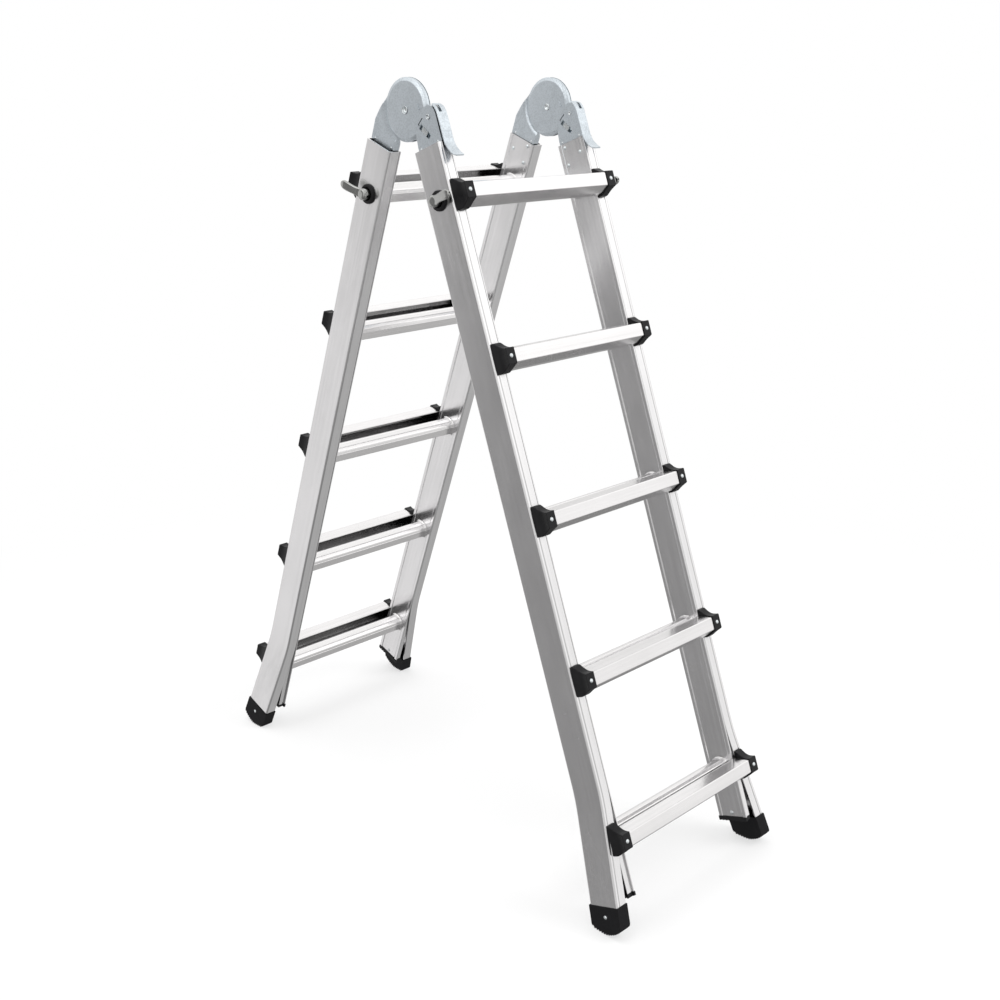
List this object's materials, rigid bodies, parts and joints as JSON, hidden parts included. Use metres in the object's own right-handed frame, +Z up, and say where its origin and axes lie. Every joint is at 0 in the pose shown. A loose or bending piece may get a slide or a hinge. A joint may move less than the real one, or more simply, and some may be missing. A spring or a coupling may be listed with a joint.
{
  "type": "multi position ladder",
  "caption": "Telescoping aluminium ladder of two nested frames joined by locking ratchet hinges, standing open as an A-frame on flared rails with rubber feet.",
  "frame": {"origin": "on the ground, midway between the four feet, under the hinge axis", "axes": "+Z up, X along the rungs, the front ladder leans towards -Y and the rear ladder towards +Y"},
  "size_m": [0.4838, 1.2246, 1.5225],
  "materials": {
    "anodised_aluminium": "satin extruded aluminium with a fine lengthwise grain",
    "zinc_plate": "zinc plated pressed steel, slightly mottled blue grey",
    "bright_steel": "bright zinc plated turned steel",
    "black_plastic": "moulded black nylon with a fine grain",
    "black_rubber": "moulded black rubber, serrated sole"
  },
  "bodies": {
    "front_inner": {"front_inner_frame": "anodised_aluminium", "front_inner_cap_left": "black_plastic", "hinge_front_leaf_left": "zinc_plate", "front_inner_cap_right": "black_plastic", "hinge_front_leaf_right": "zinc_plate", "hinge_pivot_left": "bright_steel", "hinge_lever_pin_left": "bright_steel", "hinge_pivot_right": "bright_steel", "hinge_lever_pin_right": "bright_steel"},
    "rear_inner": {"rear_inner_frame": "anodised_aluminium", "rear_inner_cap_left": "black_plastic", "hinge_rear_leaf_left": "zinc_plate", "rear_inner_cap_right": "black_plastic", "hinge_rear_leaf_right": "zinc_plate"},
    "front_outer": {"front_outer_rail_left": "anodised_aluminium", "front_foot_left": "black_rubber", "front_outer_rail_right": "anodised_aluminium", "front_foot_right": "black_rubber", "front_outer_rung_1": "anodised_aluminium", "front_bracket_1_left": "black_plastic", "front_bracket_1_right": "black_plastic", "front_outer_rung_2": "anodised_aluminium", "front_bracket_2_left": "black_plastic", "front_bracket_2_right": "black_plastic", "front_outer_rung_3": "anodised_aluminium", "front_bracket_3_left": "black_plastic", "front_bracket_3_right": "black_plastic", "front_outer_rung_4": "anodised_aluminium", "front_bracket_4_left": "black_plastic", "front_bracket_4_right": "black_plastic", "front_outer_rung_5": "anodised_aluminium", "front_bracket_5_left": "black_plastic", "front_bracket_5_right": "black_plastic"},
    "rear_outer": {"rear_outer_rail_left": "anodised_aluminium", "rear_foot_left": "black_rubber", "rear_outer_rail_right": "anodised_aluminium", "rear_foot_right": "black_rubber", "rear_outer_rung_1": "anodised_aluminium", "rear_bracket_1_left": "black_plastic", "rear_bracket_1_right": "black_plastic", "rear_outer_rung_2": "anodised_aluminium", "rear_bracket_2_left": "black_plastic", "rear_bracket_2_right": "black_plastic", "rear_outer_rung_3": "anodised_aluminium", "rear_bracket_3_left": "black_plastic", "rear_bracket_3_right": "black_plastic", "rear_outer_rung_4": "anodised_aluminium", "rear_bracket_4_left": "black_plastic", "rear_bracket_4_right": "black_plastic", "rear_outer_rung_5": "anodised_aluminium", "rear_bracket_5_left": "black_plastic", "rear_bracket_5_right": "black_plastic"},
    "front_lock_left": {"front_lock_pin_left": "bright_steel"},
    "front_lock_right": {"front_lock_pin_right": "bright_steel"},
    "rear_lock_left": {"rear_lock_pin_left": "bright_steel"},
    "rear_lock_right": {"rear_lock_pin_right": "bright_steel"},
    "hinge_lever_left": {"hinge_lever_left": "zinc_plate"},
    "hinge_bolt_left": {"hinge_lock_bolt_left": "bright_steel"},
    "hinge_lever_right": {"hinge_lever_right": "zinc_plate"},
    "hinge_bolt_right": {"hinge_lock_bolt_right": "bright_steel"}
  },
  "joints": [
    {"name": "ladder_fold", "type": "hinge", "parent": "front_inner", "child": "rear_inner", "pos_m": [0, 0, 1.465], "axis": [1, 0, 0], "range_deg": [-40.3, 139.7]},
    {"name": "front_extend", "type": "slide", "parent": "front_inner", "child": "front_outer", "axis": [0, -0.3446, -0.9387], "range_m": [0, 1.2192]},
    {"name": "rear_extend", "type": "slide", "parent": "rear_inner", "child": "rear_outer", "axis": [0, 0.3446, -0.9387], "range_m": [0, 1.2192]},
    {"name": "front_lock_pull_left", "type": "slide", "parent": "front_outer", "child": "front_lock_left", "axis": [-1, 0, 0], "range_m": [0, 0.018], "stiffness_N_per_m": 400, "springref_m": -0.01},
    {"name": "front_lock_pull_right", "type": "slide", "parent": "front_outer", "child": "front_lock_right", "axis": [1, 0, 0], "range_m": [0, 0.018], "stiffness_N_per_m": 400, "springref_m": -0.01},
    {"name": "rear_lock_pull_left", "type": "slide", "parent": "rear_outer", "child": "rear_lock_left", "axis": [-1, 0, 0], "range_m": [0, 0.018], "stiffness_N_per_m": 400, "springref_m": -0.01},
    {"name": "rear_lock_pull_right", "type": "slide", "parent": "rear_outer", "child": "rear_lock_right", "axis": [1, 0, 0], "range_m": [0, 0.018], "stiffness_N_per_m": 400, "springref_m": -0.01},
    {"name": "lever_press_left", "type": "hinge", "parent": "front_inner", "child": "hinge_lever_left", "pos_m": [-0.189, -0.06338, 1.45397], "axis": [-1, 0, 0], "range_deg": [0, 20], "stiffness_Nm_per_rad": 2, "springref_deg": -5.73},
    {"name": "bolt_draw_left", "type": "slide", "parent": "front_inner", "child": "hinge_bolt_left", "axis": [0, -0.8287, -0.5597], "range_m": [0, 0.0077]},
    {"name": "lever_press_right", "type": "hinge", "parent": "front_inner", "child": "hinge_lever_right", "pos_m": [0.189, -0.06338, 1.45397], "axis": [-1, 0, 0], "range_deg": [0, 20], "stiffness_Nm_per_rad": 2, "springref_deg": -5.73},
    {"name": "bolt_draw_right", "type": "slide", "parent": "front_inner", "child": "hinge_bolt_right", "axis": [0, -0.8287, -0.5597], "range_m": [0, 0.0077]}
  ],
  "couplings": [
    {"joint": "bolt_draw_left", "follows": "lever_press_left", "m_per_rad": 0.0215},
    {"joint": "bolt_draw_right", "follows": "lever_press_right", "m_per_rad": 0.0215}
  ]
}
